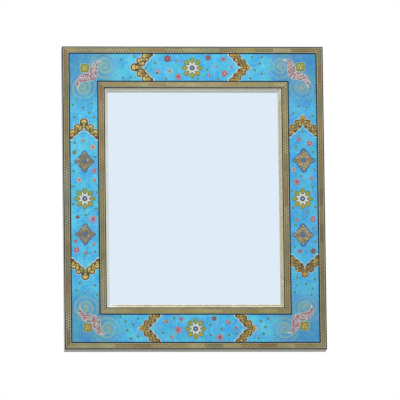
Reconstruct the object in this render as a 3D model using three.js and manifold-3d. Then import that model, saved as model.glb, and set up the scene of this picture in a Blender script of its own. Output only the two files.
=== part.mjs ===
// An inlaid and painted wall mirror, built as its maker builds it: a mitred wooden core faced with strips
// of khatam, thin ebonised lines and painted panels, a gilt slip at the sight edge, and the glass behind.
// Millimetres. X runs to the right, Z up, and the face looks along -Y. The origin is the frame's centre.
import * as THREE from "three";
import { mergeVertices } from "three/addons/utils/BufferGeometryUtils.js";
import Module from "manifold-3d";

const wasm = await Module();
wasm.setup();

// Overall size of the frame
const frameWidth = 350;
const frameHeight = 410;
const frameDepth = 24;

// Widths across the face of a rail, from the outer edge to the sight edge
const lineWidth = 1.3;
const outerKhatamWidth = 7;
const fieldWidth = 37.3;
const innerKhatamWidth = 7;
const slipWidth = 4;

// Thickness of what is glued on the core, and how far the painted panels lie below the khatam
const faceThickness = 2;
const sideThickness = 2;
const fieldRecess = 0.3;

// The gilt slip: how far its outer and inner edges lie below the face, and the bead at its sight edge
const slipOuterDrop = 0.5;
const slipInnerDrop = 2.2;
const slipBeadRadius = 0.6;
const slipGroove = 0.4;

// The core's stepped rebate: the lip in front of the glass, and how far the glass's seat goes in behind it
const lipThickness = 5;
const rebateWidth = 3.5;

// What lies in the rebate
const glassThickness = 3;
const guardThickness = 1;
const boardThickness = 6;
const glassPlay = 2;
const boardPlay = 0.5;

// A loose tongue across each mitre
const splineLength = 34;
const splineWidth = 14;
const splineThickness = 3;
const splineInset = 26;
const splineGap = 0.3;

// Brass turn buttons, two on each stile, and their play to the walls of the ledge that they lie on
const buttonSpacing = 160;
const buttonThickness = 1.5;
const buttonHubRadius = 4.5;
const buttonTipRadius = 3.2;
const buttonReach = 11;
const buttonGap = 0.3;
const buttonSidePlay = 1.25;

// Screws: shank and head radii, head height and the length under the head
const turnScrew = { shank: 1.5, head: 3.2, dome: 1.7, length: 11, slotWidth: 0.8, slotDepth: 0.7 };
const plateScrew = { shank: 1.1, head: 2.1, dome: 1.3, length: 9, slotWidth: 0.6, slotDepth: 0.5 };
const screwGap = 0.3;

// The D ring and its folded plate, in a pocket in the back of the top rail, with the play round them
const pocketEdge = 6.5;
const pocketPlay = 3.8;
const wireRadius = 1.1;
const ringRadius = 8.1;
const ringArm = 8;
const ringOverlap = 0.3;
const knuckleGap = 0.25;
const knuckleHeadroom = 0.7;
const plateSheet = 0.8;
const plateSidePlay = 0.5;
const plateLength = 9;
const plateScrewSpacing = 7.6;
const plateScrewDrop = 6.2;
const ringHeadroom = 1.3;

// Places that follow from the sizes
const halfWidth = frameWidth / 2;
const halfHeight = frameHeight / 2;
const faceY = -frameDepth / 2;
const backY = frameDepth / 2;
const coreFrontY = faceY + faceThickness;

// Distances in from the outer edge, strip by strip
const outerKhatamInset = lineWidth;
const fieldLineInset = outerKhatamInset + outerKhatamWidth;
const fieldInset = fieldLineInset + lineWidth;
const innerLineInset = fieldInset + fieldWidth;
const innerKhatamInset = innerLineInset + lineWidth;
const sightLineInset = innerKhatamInset + innerKhatamWidth;
const sightInset = sightLineInset + lineWidth;
const glassInset = sightInset + slipWidth;
const rebateInset = sightInset - rebateWidth;
const buttonInset = rebateInset - buttonHubRadius - buttonSidePlay;
const ledgeInset = buttonInset - buttonHubRadius - buttonSidePlay;

// Depths of what lies in the rebate
const glassFrontY = coreFrontY + lipThickness;
const guardFrontY = glassFrontY + glassThickness;
const boardFrontY = guardFrontY + guardThickness;
const boardBackY = boardFrontY + boardThickness;

const finishes = {
  pine: { color: 0x9c7448, roughness: 0.7, metalness: 0 },
  beech: { color: 0xc79a66, roughness: 0.7, metalness: 0 },
  ebony: { color: 0x1e2322, roughness: 0.35, metalness: 0 },
  khatam: { color: 0x8c8256, roughness: 0.3, metalness: 0 },
  painted: { color: 0x4ab4e6, roughness: 0.25, metalness: 0 },
  gilt: { color: 0xd8c48a, roughness: 0.35, metalness: 0.7 },
  mirror: { color: 0xdfebf7, roughness: 0.03, metalness: 1 },
  card: { color: 0x8f877a, roughness: 0.9, metalness: 0 },
  plywood: { color: 0xb08a5c, roughness: 0.75, metalness: 0 },
  brass: { color: 0xb08d45, roughness: 0.35, metalness: 1 },
  steel: { color: 0xb9b6ac, roughness: 0.35, metalness: 1 },
};

const mirrorFrame = new THREE.Group();

function addPiece(name, geometry, finish) {
  const mesh = new THREE.Mesh(geometry, new THREE.MeshStandardMaterial(finishes[finish]));
  mesh.name = name;
  mirrorFrame.add(mesh);
}

// A three.js geometry as a solid that can be joined and cut
function solidOf(geometry) {
  const bare = geometry.clone();
  bare.deleteAttribute("normal");
  bare.deleteAttribute("uv");
  const merged = mergeVertices(bare, 1e-4);
  return new wasm.Manifold(
    new wasm.Mesh({
      numProp: 3,
      vertProperties: merged.getAttribute("position").array,
      triVerts: new Uint32Array(merged.index.array),
    }),
  );
}

// A solid back as a three.js geometry with flat faces
function geometryOf(solid) {
  const mesh = solid.getMesh();
  const indexed = new THREE.BufferGeometry();
  indexed.setAttribute("position", new THREE.Float32BufferAttribute(mesh.vertProperties, 3));
  indexed.setIndex(Array.from(mesh.triVerts));
  const flat = indexed.toNonIndexed();
  flat.computeVertexNormals();
  return flat;
}

// A closed outline from a list of [x, y] points
function outlineOf(points) {
  return new THREE.Shape(points.map(([x, y]) => new THREE.Vector2(x, y)));
}

// A rectangular section across a strip: insets from the outer edge, and depths along Y
function sectionOf(fromInset, toInset, fromY, toY) {
  return outlineOf([
    [fromInset, fromY],
    [toInset, fromY],
    [toInset, toY],
    [fromInset, toY],
  ]);
}

// Where a point of a strip's section lies at one end (-1 or 1) of the strip on each side of the frame.
// The strips are drawn clockwise round the frame, so each end is a mitre that meets the next strip.
const sidePlaces = {
  top: (inset, end) => [end * (halfWidth - inset), halfHeight - inset],
  right: (inset, end) => [halfWidth - inset, -end * (halfHeight - inset)],
  bottom: (inset, end) => [-end * (halfWidth - inset), inset - halfHeight],
  left: (inset, end) => [inset - halfWidth, end * (halfHeight - inset)],
};
const sides = Object.keys(sidePlaces);

// One mitred strip: its section drawn along the side, and each end slid out to its place on the mitre
function mitredStrip(section, side) {
  const strip = new THREE.ExtrudeGeometry(section, { depth: 1, steps: 1, bevelEnabled: false });
  const points = strip.getAttribute("position");
  for (let i = 0; i < points.count; i++) {
    const end = points.getZ(i) > 0.5 ? 1 : -1;
    const [x, z] = sidePlaces[side](points.getX(i), end);
    points.setXYZ(i, x, points.getY(i), z);
  }
  strip.computeVertexNormals();
  return strip;
}

// A box from its low and high corners
function boxBetween([x0, y0, z0], [x1, y1, z1]) {
  const box = new THREE.BoxGeometry(x1 - x0, y1 - y0, z1 - z0);
  return box.translate((x0 + x1) / 2, (y0 + y1) / 2, (z0 + z1) / 2);
}

// A round bar along X or Y from its middle
function roundBar(radius, length, axis, [x, y, z], segments = 24) {
  const bar = new THREE.CylinderGeometry(radius, radius, length, segments);
  if (axis === "x") bar.rotateZ(Math.PI / 2);
  return bar.translate(x, y, z);
}

// Strips that face the core: name, insets and depths
const fieldY = faceY + fieldRecess;
const faceStrips = [
  { name: "edge_line", from: 0, to: outerKhatamInset, front: faceY, finish: "ebony" },
  { name: "outer_khatam", from: outerKhatamInset, to: fieldLineInset, front: faceY, finish: "khatam" },
  { name: "field_outer_line", from: fieldLineInset, to: fieldInset, front: faceY, finish: "ebony" },
  { name: "painted_panel", from: fieldInset, to: innerLineInset, front: fieldY, finish: "painted" },
  { name: "field_inner_line", from: innerLineInset, to: innerKhatamInset, front: faceY, finish: "ebony" },
  { name: "inner_khatam", from: innerKhatamInset, to: sightLineInset, front: faceY, finish: "khatam" },
  { name: "sight_line", from: sightLineInset, to: sightInset, front: faceY, finish: "ebony" },
];
for (const strip of faceStrips) {
  const section = sectionOf(strip.from, strip.to, strip.front, coreFrontY);
  for (const side of sides) addPiece(`${strip.name}_${side}`, mitredStrip(section, side), strip.finish);
}

// Khatam round the outside of the frame, from under the edge line to the back
const sideSection = sectionOf(0, sideThickness, coreFrontY, backY);
for (const side of sides) addPiece(`side_khatam_${side}`, mitredStrip(sideSection, side), "khatam");

// The gilt slip: a slope down from the sight line, a small groove, and a bead next to the glass
function slipSection() {
  const beadInset = glassInset - slipBeadRadius;
  const beadY = faceY + slipInnerDrop + slipBeadRadius;
  const grooveInset = beadInset - slipBeadRadius - slipGroove;
  const section = new THREE.Shape();
  section.moveTo(sightInset, glassFrontY);
  section.lineTo(sightInset, faceY + slipOuterDrop);
  section.lineTo(grooveInset, faceY + slipInnerDrop);
  section.lineTo(grooveInset, beadY);
  section.lineTo(beadInset - slipBeadRadius, beadY);
  section.absarc(beadInset, beadY, slipBeadRadius, Math.PI, 2 * Math.PI, false);
  section.lineTo(glassInset, glassFrontY);
  return section;
}
for (const side of sides) addPiece(`gilt_slip_${side}`, mitredStrip(slipSection(), side), "gilt");

// The corners of the frame, as the signs of X and Z
const corners = [
  { name: "top_left", x: -1, z: 1 },
  { name: "top_right", x: 1, z: 1 },
  { name: "bottom_right", x: 1, z: -1 },
  { name: "bottom_left", x: -1, z: -1 },
];

// A flat tongue that lies along the mitre and reaches the same way into both rails
const splineMiddleY = (glassFrontY + boardBackY) / 2;
function splineBlank(corner, gap) {
  const sizes = [splineLength, splineThickness, splineWidth].map((size) => size + 2 * gap);
  const blank = new THREE.BoxGeometry(...sizes);
  blank.rotateY(-corner.x * corner.z * (Math.PI / 4));
  return blank.translate(
    corner.x * (halfWidth - splineInset),
    splineMiddleY,
    corner.z * (halfHeight - splineInset),
  );
}
for (const corner of corners) addPiece(`corner_spline_${corner.name}`, splineBlank(corner, 0), "beech");

// Where the turn buttons pivot: the middle of the ledge, above and below the middle of each stile
const buttonPlaces = [];
for (const [side, x] of [
  ["left", -1],
  ["right", 1],
]) {
  for (const [level, z] of [
    ["upper", 1],
    ["lower", -1],
  ]) {
    buttonPlaces.push({
      name: `${side}_${level}`,
      x: x * (halfWidth - buttonInset),
      z: (z * buttonSpacing) / 2,
      inward: -x,
    });
  }
}

// A turn button is a hub round its screw, drawn in to a rounded tip that reaches over the backing board
function turnButton(place) {
  const lean = Math.asin((buttonHubRadius - buttonTipRadius) / buttonReach);
  const outline = new THREE.Shape();
  outline.absarc(0, 0, buttonHubRadius, Math.PI / 2 - lean, 1.5 * Math.PI + lean, false);
  outline.absarc(buttonReach, 0, buttonTipRadius, 1.5 * Math.PI + lean, 2.5 * Math.PI - lean, false);
  const hole = new THREE.Path();
  hole.absarc(0, 0, turnScrew.shank + screwGap, 0, 2 * Math.PI, true);
  outline.holes.push(hole);
  const button = new THREE.ExtrudeGeometry(outline, {
    depth: buttonThickness,
    bevelEnabled: false,
    curveSegments: 16,
  });
  button.rotateX(-Math.PI / 2);
  if (place.inward < 0) button.rotateY(Math.PI);
  return button;
}

// A wood screw along Y with its slotted round head at the back, and the underside of the head at y
function screwBody(kind, x, y, z) {
  const tipLength = 2 * kind.shank;
  const profile = [new THREE.Vector2(0, -kind.length)];
  profile.push(new THREE.Vector2(kind.shank, tipLength - kind.length));
  profile.push(new THREE.Vector2(kind.shank, 0));
  const domeSteps = 5;
  for (let step = 0; step <= domeSteps; step++) {
    const turn = (step / domeSteps) * (Math.PI / 2);
    profile.push(new THREE.Vector2(kind.head * Math.cos(turn), kind.dome * Math.sin(turn)));
  }
  profile[profile.length - 1].x = 0;
  const body = solidOf(new THREE.LatheGeometry(profile, 24));
  const slot = boxBetween(
    [-kind.head, kind.dome - kind.slotDepth, -kind.slotWidth / 2],
    [kind.head, kind.dome + 1, kind.slotWidth / 2],
  );
  return geometryOf(body.subtract(solidOf(slot))).translate(x, y, z);
}

// The hole that a screw's shank goes into, below the face at y
function pilotHole(kind, x, y, z) {
  const depth = kind.length + screwGap;
  return roundBar(kind.shank + screwGap, depth + 1, "y", [x, y + (1 - depth) / 2, z]);
}

const buttonBackY = boardBackY + buttonGap + buttonThickness;
for (const place of buttonPlaces) {
  const button = turnButton(place).translate(place.x, boardBackY + buttonGap, place.z);
  addPiece(`turn_button_${place.name}`, button, "brass");
  const screw = screwBody(turnScrew, place.x, buttonBackY + buttonGap, place.z);
  addPiece(`turn_screw_${place.name}`, screw, "steel");
}

// The hanger: a sheet folded round the straight side of the D ring, screwed to the floor of its pocket
const knuckleRadius = wireRadius + knuckleGap + plateSheet;
const pocketFloorY = backY - 2 * knuckleRadius - knuckleHeadroom;
const pocketTopZ = halfHeight - pocketEdge;
const pocketReachX = ringRadius + wireRadius + pocketPlay;
const pivotY = pocketFloorY + knuckleRadius;
const ringLength = ringArm + ringRadius + wireRadius;
const pivotZ = pocketTopZ - ringHeadroom - ringLength;
const pocketBottomZ = pivotZ - ringLength - pocketPlay;
const plateWidth = 2 * (ringRadius - wireRadius - plateSidePlay);
const leafY = pocketFloorY + 2 * plateSheet;
const plateScrewZ = pivotZ - plateScrewDrop;
const plateScrewPlaces = [
  { name: "left", x: -plateScrewSpacing / 2 },
  { name: "right", x: plateScrewSpacing / 2 },
];

function hangerPlate() {
  const leaf = boxBetween(
    [-plateWidth / 2, pocketFloorY, pivotZ - plateLength],
    [plateWidth / 2, leafY, pivotZ],
  );
  const knuckle = roundBar(knuckleRadius, plateWidth, "x", [0, pivotY, pivotZ], 32);
  const bore = roundBar(wireRadius + knuckleGap, plateWidth + 2, "x", [0, pivotY, pivotZ], 32);
  let plate = solidOf(leaf).add(solidOf(knuckle)).subtract(solidOf(bore));
  for (const place of plateScrewPlaces) {
    const hole = roundBar(plateScrew.shank + screwGap, 8 * plateSheet, "y", [place.x, leafY, plateScrewZ]);
    plate = plate.subtract(solidOf(hole));
  }
  return geometryOf(plate);
}

// The D ring hangs from its straight side: two arms, and half a circle of the same wire below them that
// reaches a little way up into the arms, so that the two join
function hangerRing() {
  const armEndZ = pivotZ - ringArm;
  const circle = new THREE.TorusGeometry(ringRadius, wireRadius, 12, 48).rotateX(Math.PI / 2);
  const reach = ringRadius + 2 * wireRadius;
  const lowerHalf = boxBetween([-reach, -reach, -reach], [reach, reach, ringOverlap]);
  let ring = solidOf(circle).intersect(solidOf(lowerHalf)).translate(0, pivotY, armEndZ);
  ring = ring.add(solidOf(roundBar(wireRadius, 2 * ringRadius, "x", [0, pivotY, pivotZ], 12)));
  for (const side of [-1, 1]) {
    const arm = new THREE.CylinderGeometry(wireRadius, wireRadius, ringArm, 12).rotateX(Math.PI / 2);
    arm.translate(side * ringRadius, pivotY, pivotZ - ringArm / 2);
    const bend = new THREE.SphereGeometry(wireRadius, 16, 12).translate(side * ringRadius, pivotY, pivotZ);
    ring = ring.add(solidOf(arm)).add(solidOf(bend));
  }
  return geometryOf(ring);
}

addPiece("hanger_plate", hangerPlate(), "brass");
addPiece("hanger_ring", hangerRing(), "brass");
for (const place of plateScrewPlaces) {
  addPiece(`hanger_screw_${place.name}`, screwBody(plateScrew, place.x, leafY, plateScrewZ), "steel");
}

// The core: an outer wall to the back, a ledge for the buttons, the seat of the glass and the lip before it
const coreSection = outlineOf([
  [sideThickness, coreFrontY],
  [sightInset, coreFrontY],
  [sightInset, glassFrontY],
  [rebateInset, glassFrontY],
  [rebateInset, boardBackY],
  [ledgeInset, boardBackY],
  [ledgeInset, backY],
  [sideThickness, backY],
]);

function coreRail(side) {
  let rail = solidOf(mitredStrip(coreSection, side));
  for (const corner of corners) {
    if (corner.name.includes(side)) rail = rail.subtract(solidOf(splineBlank(corner, splineGap)));
  }
  for (const place of buttonPlaces) {
    if (place.name.startsWith(side)) {
      rail = rail.subtract(solidOf(pilotHole(turnScrew, place.x, boardBackY, place.z)));
    }
  }
  if (side === "top") {
    const pocket = boxBetween(
      [-pocketReachX, pocketFloorY, pocketBottomZ],
      [pocketReachX, backY + 1, pocketTopZ],
    );
    rail = rail.subtract(solidOf(pocket));
    for (const place of plateScrewPlaces) {
      rail = rail.subtract(solidOf(pilotHole(plateScrew, place.x, pocketFloorY, plateScrewZ)));
    }
  }
  return geometryOf(rail);
}
const coreNames = { top: "core_rail", bottom: "core_rail", left: "core_stile", right: "core_stile" };
for (const side of sides) addPiece(`${coreNames[side]}_${side}`, coreRail(side), "pine");

// The glass, its guard sheet and the backing board lie in the rebate, one behind the other
function rebateSheet(play, frontY, backFaceY) {
  const reachX = halfWidth - rebateInset - play;
  const reachZ = halfHeight - rebateInset - play;
  return boxBetween([-reachX, frontY, -reachZ], [reachX, backFaceY, reachZ]);
}
addPiece("mirror_glass", rebateSheet(glassPlay, glassFrontY, guardFrontY), "mirror");
addPiece("guard_sheet", rebateSheet(glassPlay, guardFrontY, boardFrontY), "card");
addPiece("backing_board", rebateSheet(boardPlay, boardFrontY, boardBackY), "plywood");

export default mirrorFrame;
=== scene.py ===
# %% [markdown]
# This lesson dresses a khatam mirror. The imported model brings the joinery: cores, glass, board and brass.
# Each visible surface gets what a workshop would give it: star mosaic, lines, a painted and lacquered field,
# gilding, and woods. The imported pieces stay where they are, and new pieces sit on them.

import itertools
import random
from math import ceil, copysign, cos, hypot, pi, radians, sin, sqrt, tau

import bmesh
import bpy
from mathutils import Matrix, Vector


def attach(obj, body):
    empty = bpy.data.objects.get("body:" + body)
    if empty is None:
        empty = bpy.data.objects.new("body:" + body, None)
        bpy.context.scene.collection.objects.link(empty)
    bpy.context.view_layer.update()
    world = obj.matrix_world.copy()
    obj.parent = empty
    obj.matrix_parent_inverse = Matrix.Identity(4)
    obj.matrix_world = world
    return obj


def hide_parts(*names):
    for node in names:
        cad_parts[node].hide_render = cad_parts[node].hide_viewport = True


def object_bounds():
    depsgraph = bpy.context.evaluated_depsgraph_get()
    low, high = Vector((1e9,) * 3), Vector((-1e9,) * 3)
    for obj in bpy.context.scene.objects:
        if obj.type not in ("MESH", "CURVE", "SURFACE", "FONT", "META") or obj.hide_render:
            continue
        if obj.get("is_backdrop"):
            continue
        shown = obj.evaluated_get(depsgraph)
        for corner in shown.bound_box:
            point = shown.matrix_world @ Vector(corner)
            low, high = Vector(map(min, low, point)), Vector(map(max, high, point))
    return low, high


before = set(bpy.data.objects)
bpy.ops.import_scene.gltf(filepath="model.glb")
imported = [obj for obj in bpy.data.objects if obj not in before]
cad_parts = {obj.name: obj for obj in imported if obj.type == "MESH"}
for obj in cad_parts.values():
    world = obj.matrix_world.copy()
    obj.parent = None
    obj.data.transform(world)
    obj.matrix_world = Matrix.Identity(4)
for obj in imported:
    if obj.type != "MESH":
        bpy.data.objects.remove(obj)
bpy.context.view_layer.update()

# %% [markdown]
# Sizes are the joinery's own, in millimetres. An inset is a distance from the frame's outer edge towards the
# glass. The face looks along -Y, so a smaller y is nearer to the viewer.

# %% Sizes of the frame
mm = 0.001
half_width = 175
half_height = 205
face_y = -12
back_y = 12
side_front_y = -10
khatam_width = 7
khatam_thickness = 2
outer_khatam_inset = 1.3
inner_khatam_inset = 48.2
field_inset = 9.6
field_width = 37.3
half_field = field_width / 2
field_y = -11.7

# Each side of the frame: the way along it, the way outwards, half its length, and its distance out
sides = {
    "top": (Vector((1, 0, 0)), Vector((0, 0, 1)), half_width, half_height),
    "right": (Vector((0, 0, -1)), Vector((1, 0, 0)), half_height, half_width),
    "bottom": (Vector((-1, 0, 0)), Vector((0, 0, -1)), half_width, half_height),
    "left": (Vector((0, 0, 1)), Vector((-1, 0, 0)), half_height, half_width),
}

# %% [markdown]
# The photograph was taken with a long lens, from a little below and to the left, so the lower edge shows
# and the upper one doesn't. The numbers were fitted to the frame's corners: a long lens far away keeps the
# sides parallel, and a small roll matches the way the picture leans.

# %% Camera
yaw, pitch, roll = (radians(angle) for angle in (-4.42, -9.723, -0.712))
camera_distance = 11.882
camera_aim = Vector((8.46, 0, -1.35)) * mm
lens_length = 800
sensor_width = 36
sight_limit = 40
back = Vector((sin(yaw) * cos(pitch), -cos(yaw) * cos(pitch), sin(pitch)))
level = Vector((cos(yaw), sin(yaw), 0))
rightwards = cos(roll) * level + sin(roll) * back.cross(level)
upright = back.cross(rightwards)

camera_data = bpy.data.cameras.new("camera")
camera_data.lens = lens_length
camera_data.sensor_width = sensor_width
camera_data.clip_end = sight_limit
camera = bpy.data.objects.new("camera", camera_data)
bpy.context.collection.objects.link(camera)
turned = Matrix((rightwards, upright, back)).transposed().to_4x4()
camera.matrix_world = Matrix.Translation(camera_aim + back * camera_distance) @ turned
bpy.context.scene.camera = camera
print("camera at", [round(value, 3) for value in camera.location])

# %% [markdown]
# A material is a small sum over the surface: noise, distances and masks, added and mixed. One class wraps a
# socket and lets Python's + - * add the Math nodes. Its make method adds any other node: settings first,
# then values or links for its sockets.

# %% Signals: sums written as Python
class Signal:
    """A node's output socket that can be used in sums."""

    def __init__(self, tree, socket=None):
        self.tree = tree
        self.socket = socket

    def make(self, kind, settings=None, sockets=None, output=0):
        node = self.tree.nodes.new("ShaderNode" + kind)
        for name, value in (settings or {}).items():
            setattr(node, name, value)
        for name, value in (sockets or {}).items():
            if isinstance(value, Signal):
                self.tree.links.new(value.socket, node.inputs[name])
            else:
                node.inputs[name].default_value = value
        return Signal(self.tree, node.outputs[output])

    def maths(self, operation, *others):
        return self.make("Math", {"operation": operation}, dict(enumerate((self, *others))))

    def __add__(self, other):
        return self.maths("ADD", other)

    def __mul__(self, other):
        return self.maths("MULTIPLY", other)

    __radd__ = __add__
    __rmul__ = __mul__

    def __sub__(self, other):
        return self.maths("SUBTRACT", other)

    def __rsub__(self, other):
        return self * -1 + other

    def least(self, other):
        return self.maths("MINIMUM", other)

    def most(self, other):
        return self.maths("MAXIMUM", other)

    def size(self):
        return self.maths("ABSOLUTE")

    def ramp(self, low, high):
        """0 at low, 1 at high, and smooth between."""
        settings = {"interpolation_type": "SMOOTHSTEP"}
        return self.make("MapRange", settings, {"Value": self, "From Min": low, "From Max": high})

    def part(self, axis):
        """One coordinate of this vector signal: X, Y or Z."""
        return self.make("SeparateXYZ", None, {"Vector": self}, axis)

    def noise(self, scale, detail=2.0, roughness=0.5, **more):
        """Noise over this vector signal; the scale is in waves to the metre."""
        sockets = {"Vector": self, "Scale": scale, "Detail": detail, "Roughness": roughness, **more}
        return self.make("TexNoise", None, sockets)

    def stretch(self, x=1.0, y=1.0, z=1.0):
        return self.make("Mapping", None, {"Vector": self, "Scale": (x, y, z)})

    def blend(self, first, second):
        """Mixes two colours by this signal."""
        return self.make("Mix", {"data_type": "RGBA"}, {0: self, 6: first, 7: second}, output=2)


def colour(text):
    """A colour written as on a screen, such as "45B8F5", as the linear numbers that nodes take."""
    numbers = [int(text[i:i + 2], 16) / 255 for i in (0, 2, 4)]
    linear = [n / 12.92 if n <= 0.04045 else ((n + 0.055) / 1.055) ** 2.4 for n in numbers]
    return (*linear, 1.0)


def shader_socket(shader, word):
    """The shader's socket for a word such as coat_weight."""
    return shader.inputs[word.replace("_", " ").title().replace("Ior", "IOR")]


def new_finish(name, **values):
    """A material, its shader, and the signal of a point's place on the object."""
    material = bpy.data.materials.new(name)
    material.use_nodes = True
    shader = material.node_tree.nodes["Principled BSDF"]
    for word, value in values.items():
        shader_socket(shader, word).default_value = value
    place = Signal(material.node_tree).make("TexCoord", output="Object")
    return material, shader, place


def wire(shader, **signals):
    """Links signals to the shader's sockets."""
    for word, signal in signals.items():
        signal.tree.links.new(signal.socket, shader_socket(shader, word))


def bump(height, strength, depth):
    """A bump from a height signal; the depth is in metres."""
    return height.make("Bump", None, {"Height": height, "Strength": strength, "Distance": depth})


# %% [markdown]
# The stage is a plain pale floor far below, because the camera looks up at the mirror. What the camera or a
# polished surface sees of world and floor is nearly white, and the light that they throw on the mirror is
# dimmer. A wide lamp stands above the front, and weaker ones above the back and at the right, so that the
# back and the sides can be looked at too.

# %% Stage and light
floor_z = -2.6
floor_reach = 30
ambient = 0.34


def seen_directly(signal):
    """1 for what the camera or a polished surface sees, and 0 for light thrown on other things."""
    seen = signal.make("LightPath", output="Is Camera Ray")
    return seen.most(signal.make("LightPath", output="Is Glossy Ray"))


world = bpy.data.worlds.new("studio")
bpy.context.scene.world = world
world.use_nodes = True
background = world.node_tree.nodes["Background"]
background.inputs["Color"].default_value = (1, 1, 1, 1)
strength = ambient + (1 - ambient) * seen_directly(Signal(world.node_tree))
world.node_tree.links.new(strength.socket, background.inputs["Strength"])

floor_finish, shader, place = new_finish("pale_floor", roughness=0.7, emission_strength=1)
direct = seen_directly(place)
mottle = place.noise(3.0).blend(colour("B4B4B2"), colour("BCBCBA"))
wire(shader, base_color=direct.blend(colour("8C8C8A"), mottle))
wire(shader, emission_color=direct.blend(colour("000000"), colour("C8C8C6")))
bm = bmesh.new()
bmesh.ops.create_grid(bm, x_segments=4, y_segments=4, size=floor_reach)
bmesh.ops.translate(bm, verts=bm.verts, vec=(0, 0, floor_z))
floor_mesh = bpy.data.meshes.new("floor")
bm.to_mesh(floor_mesh)
bm.free()
floor_mesh.materials.append(floor_finish)
floor = bpy.data.objects.new("floor", floor_mesh)
bpy.context.collection.objects.link(floor)
floor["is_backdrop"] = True


def add_lamp(name, position, watts, width):
    """A square lamp that faces the mirror's middle."""
    data = bpy.data.lights.new(name, "AREA")
    data.energy = watts
    data.size = width
    lamp = bpy.data.objects.new(name, data)
    lamp.location = position
    lamp.rotation_euler = Vector(position).to_track_quat("Z", "Y").to_euler()
    bpy.context.collection.objects.link(lamp)


add_lamp("front_lamp", (-0.3, -3.6, 3.3), 198, 1.6)
add_lamp("back_lamp", (1.2, 3.6, 2.4), 110, 1.6)
add_lamp("side_lamp", (3.8, 0.5, 1.4), 90, 1.4)
bpy.context.scene.view_settings.view_transform = "Standard"
print("stage ready, floor at", floor_z, "m")

# %% [markdown]
# New pieces are shaped in millimetres in a bmesh and scaled to metres when they are done. One helper turns
# such a bmesh into an object with its materials, the body that it moves with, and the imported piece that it
# stands for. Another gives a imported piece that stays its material.

# %% Turning a bmesh into a piece
def add_piece(name, bm, finishes, stands_for=(), body="root"):
    bmesh.ops.scale(bm, vec=(mm, mm, mm), verts=bm.verts)
    mesh = bpy.data.meshes.new(name)
    bm.to_mesh(mesh)
    bm.free()
    for finish in finishes:
        mesh.materials.append(finish)
    piece = bpy.data.objects.new(name, mesh)
    bpy.context.collection.objects.link(piece)
    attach(piece, body)
    if stands_for:
        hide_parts(*stands_for)


def dress(node, finish):
    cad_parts[node].material_slots[0].material = finish


print(len(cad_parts), "packed pieces to dress or replace")

# %% [markdown]
# Khatam is sawn from bundles of thin three-sided rods of bone, brass and coloured woods. Each rod shows its
# end as a small triangle, and six round a point make a star. The mosaic is glued down as a veneer and
# polished flush under lacquer. The rods are real faces here, and each kind has its own material.

# %% Rods for the khatam
def rod_finish(name, light, dark, metal=0.0, roughness=0.3):
    """One kind of rod: two shades in fine end grain, under polish."""
    material, shader, place = new_finish(
        f"rod_{name}", metallic=metal, coat_weight=0.15, coat_roughness=0.12
    )
    grain = place.noise(1500.0, 3.0)
    patch = place.noise(35.0, 1.0)
    shade = (0.6 * grain + 0.4 * patch).ramp(0.35, 0.65)
    wire(shader, base_color=shade.blend(colour(dark), colour(light)))
    wire(shader, roughness=roughness + 0.2 * grain - 0.1)
    return material


# A light and a dark shade of each; for brass also how metallic and how rough it is
rod_shades = {
    "ebony": ("3E3420", "241E14"),
    "bone": ("CECAA4", "B0AA84"),
    "brass": ("B09A4C", "8A763A", 0.5, 0.32),
    "walnut": ("6C5630", "504022"),
    "olive": ("948C50", "79723A"),
    "khaki": ("A3955C", "877A44"),
    "orange": ("A8713A", "8A562A"),
    "green": ("76865A", "5C7048"),
    "lime": ("B0B49E", "949884"),
    "straw": ("C0B67E", "A49A5E"),
    "rose": ("9A7660", "80604A"),
}
rods = {name: rod_finish(name, *shades) for name, shades in rod_shades.items()}
rod_names = list(rods)
print(len(rods), "kinds of rod")

# %% [markdown]
# The stars stand 3.7 mm apart in staggered rows, as the photograph's dots do. A grid of squares, leaned over
# by half a square in each row and cut along the short diagonals, is already a field of equal triangles. The
# bundle changes every 24 mm along a band, as where one block of khatam ends and the next begins.

# %% Stars from triangles
star_pitch = 3.7
rod_side = star_pitch / 3
rod_row = rod_side * sqrt(3) / 2
star_row = 3 * rod_row
# A band's border is pale as far as its line, and the dark line ends at the border's width
border_line = 0.9
border_width = 1.1
# How far a star's middle and its points reach, in rod sides
middle_reach = 0.8
point_reach = 1.35
full_middles = 0.85
block_length = 24
block_count = 25
chance = random.Random(7)


def star_distance(s, t):
    """How far a point of the band is from the nearest star's middle, in rod sides."""
    gaps = []
    row = int(t // star_row)
    for candidate in (row - 1, row, row + 1):
        shift = star_pitch / 2 * (candidate % 2)
        column = round((s - shift) / star_pitch)
        gaps.append(hypot(s - shift - column * star_pitch, t - (candidate + 0.5) * star_row))
    return min(gaps) / rod_side


def rod_at(s, t, width, blocks):
    """The kind of rod at s along the band and t from its middle."""
    edge = width / 2 - abs(t)
    if edge < border_line:
        return "lime"
    if edge < border_width:
        return "walnut"
    core, point, ground = blocks[int((s + block_length * block_count / 2) // block_length)]
    reach = star_distance(s, t)
    if reach < middle_reach:
        return core if chance.random() < full_middles else "walnut"
    if reach < point_reach:
        return point
    return ground


def shuffle_blocks(name, side):
    """The rods of each block of a band: star middles, star points and the ground between."""
    if side in ("top", "bottom"):
        cores = ["walnut", "olive", "olive"]
        points = ["bone", "straw", "khaki"]
        grounds = ["khaki", "brass", "khaki", "orange", "green", "olive"]
    else:
        cores = ["ebony", "walnut", "walnut"]
        points = ["lime", "khaki", "khaki"] if side == "left" else ["khaki", "olive", "olive"]
        grounds = ["olive", "khaki", "khaki", "green", "walnut", "rose", "olive", "orange"]
    if name == "inner_khatam":
        cores = cores[1:]
        points = points + ["straw"]
        grounds = ["brass", "khaki", "khaki", "olive", "orange"]
    # Painted shade: the veneer under the bottom edge gets dark rods, because the underside lies in shade
    if (name, side) == ("side_khatam", "bottom"):
        cores = ["ebony", "ebony", "walnut"]
        points = ["green", "olive", "green"]
        grounds = ["green", "walnut", "green", "ebony", "olive", "orange"]
    return [tuple(chance.choice(kinds) for kinds in (cores, points, grounds)) for _ in range(block_count)]


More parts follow.
